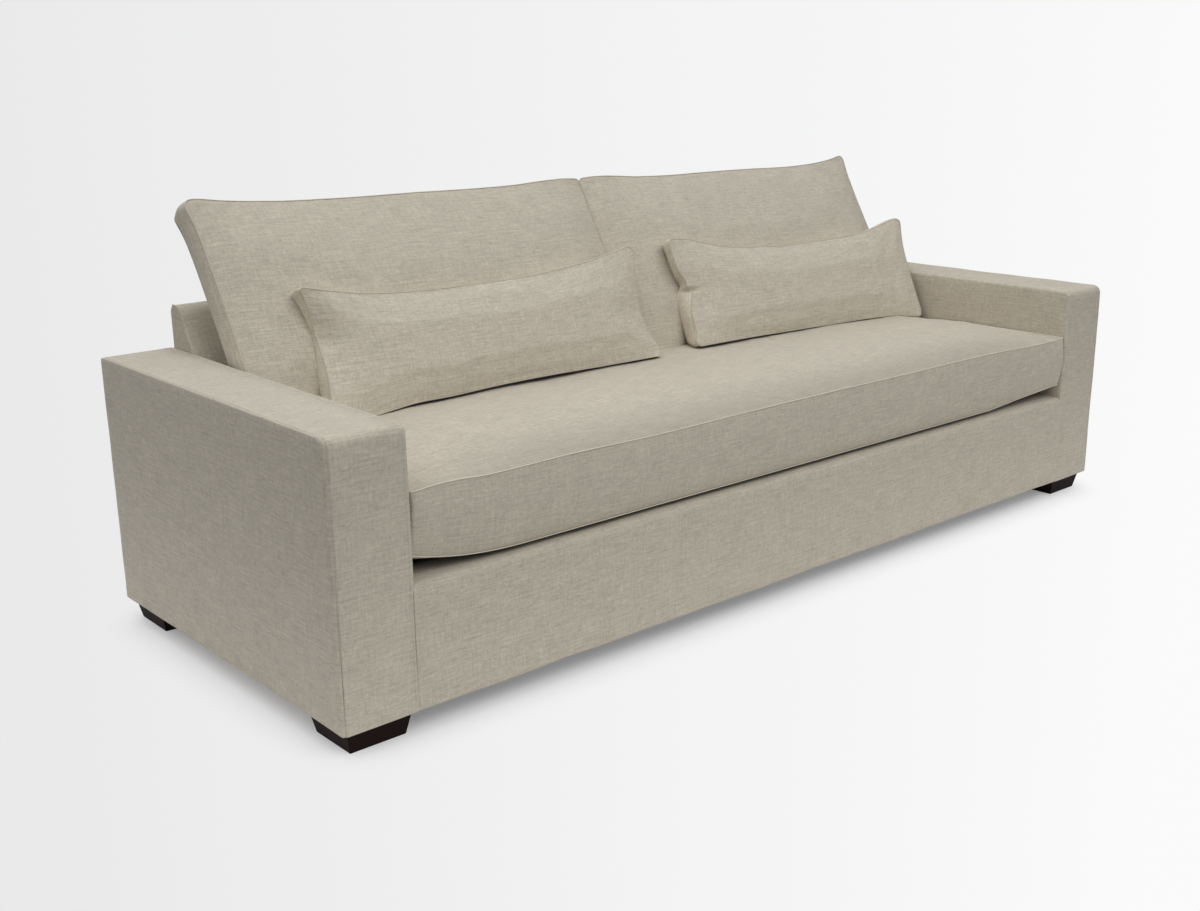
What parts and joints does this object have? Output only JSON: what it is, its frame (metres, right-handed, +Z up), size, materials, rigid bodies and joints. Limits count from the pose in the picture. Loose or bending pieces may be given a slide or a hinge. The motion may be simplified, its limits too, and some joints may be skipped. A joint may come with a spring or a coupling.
{
  "type": "sofa",
  "caption": "Straight track-arm sofa with a long bench seat cushion, loose reclined back cushions and lumbar pillows, in beige linen, on tapered block feet.",
  "frame": {"origin": "on the floor under the middle of the sofa's length and depth", "axes": "+X along the sofa, to the right as seen from the front; +Y from the front to the back; +Z up"},
  "size_m": [2.44, 0.92, 0.9115],
  "materials": {
    "linen": "coarse linen weave, matte",
    "deck_linen": "plain woven, matte",
    "espresso": "dark stain, satin",
    "timber": "planed, bare",
    "plywood": "bare",
    "foam": "open-cell foam",
    "felt": "needled felt",
    "jute": "woven strap",
    "steel": "zinc plated",
    "cambric": "thin non-woven, matte",
    "zip_tape": "woven tape with nylon coil"
  },
  "bodies": {
    "frame": {"arm_left_back_post": "timber", "arm_left_base_board": "plywood", "arm_left_cover": "linen", "arm_left_front_post": "timber", "arm_left_top_pad": "foam", "arm_left_top_rail": "plywood", "arm_right_back_post": "timber", "arm_right_base_board": "plywood", "arm_right_cover": "linen", "arm_right_front_post": "timber", "arm_right_top_pad": "foam", "arm_right_top_rail": "plywood", "arm_screw_back_left": "steel", "arm_screw_back_right": "steel", "arm_screw_front_left": "steel", "arm_screw_front_right": "steel", "back_cover": "linen", "back_pad": "foam", "back_top_rail": "timber", "back_upright_centre": "plywood", "back_upright_left": "plywood", "back_upright_right": "plywood", "back_webbing": "jute", "centre_stretcher": "timber", "corner_block_left": "timber", "corner_block_right": "timber", "deck_cover": "deck_linen", "deck_pad": "felt", "dust_cover": "cambric", "end_rail_left": "timber", "end_rail_right": "timber", "foot_back_left": "espresso", "foot_back_right": "espresso", "foot_front_left": "espresso", "foot_front_right": "espresso", "front_border_cover": "linen", "front_rail": "timber", "hanger_bolt_back_left": "steel", "hanger_bolt_back_right": "steel", "hanger_bolt_front_left": "steel", "hanger_bolt_front_right": "steel", "rear_rail": "timber", "seat_back_rail": "timber", "seat_spring_unit": "steel"},
    "seat_cushion": {"seat_cushion_core": "foam", "seat_cushion_cover": "linen", "seat_cushion_zip": "zip_tape"},
    "back_cushion_left": {"back_cushion_left_core": "foam", "back_cushion_left_cover": "linen", "back_cushion_left_zip": "zip_tape"},
    "back_cushion_right": {"back_cushion_right_core": "foam", "back_cushion_right_cover": "linen", "back_cushion_right_zip": "zip_tape"},
    "lumbar_pillow_left": {"lumbar_pillow_left_core": "foam", "lumbar_pillow_left_cover": "linen", "lumbar_pillow_left_zip": "zip_tape"},
    "lumbar_pillow_right": {"lumbar_pillow_right_core": "foam", "lumbar_pillow_right_cover": "linen", "lumbar_pillow_right_zip": "zip_tape"}
  },
  "joints": [
    {"name": "seat_cushion_lift", "type": "slide", "parent": "frame", "child": "seat_cushion", "axis": [0, 0, 1], "range_m": [0, 0.35]},
    {"name": "back_cushion_lift_left", "type": "slide", "parent": "seat_cushion", "child": "back_cushion_left", "axis": [0, 0.515, 0.8572], "range_m": [0, 0.3]},
    {"name": "back_cushion_lift_right", "type": "slide", "parent": "seat_cushion", "child": "back_cushion_right", "axis": [0, 0.515, 0.8572], "range_m": [0, 0.3]},
    {"name": "lumbar_pillow_lift_left", "type": "slide", "parent": "seat_cushion", "child": "lumbar_pillow_left", "axis": [0, -0.5, 0.866], "range_m": [0, 0.25]},
    {"name": "lumbar_pillow_lift_right", "type": "slide", "parent": "seat_cushion", "child": "lumbar_pillow_right", "axis": [0, -0.5, 0.866], "range_m": [0, 0.25]}
  ]
}
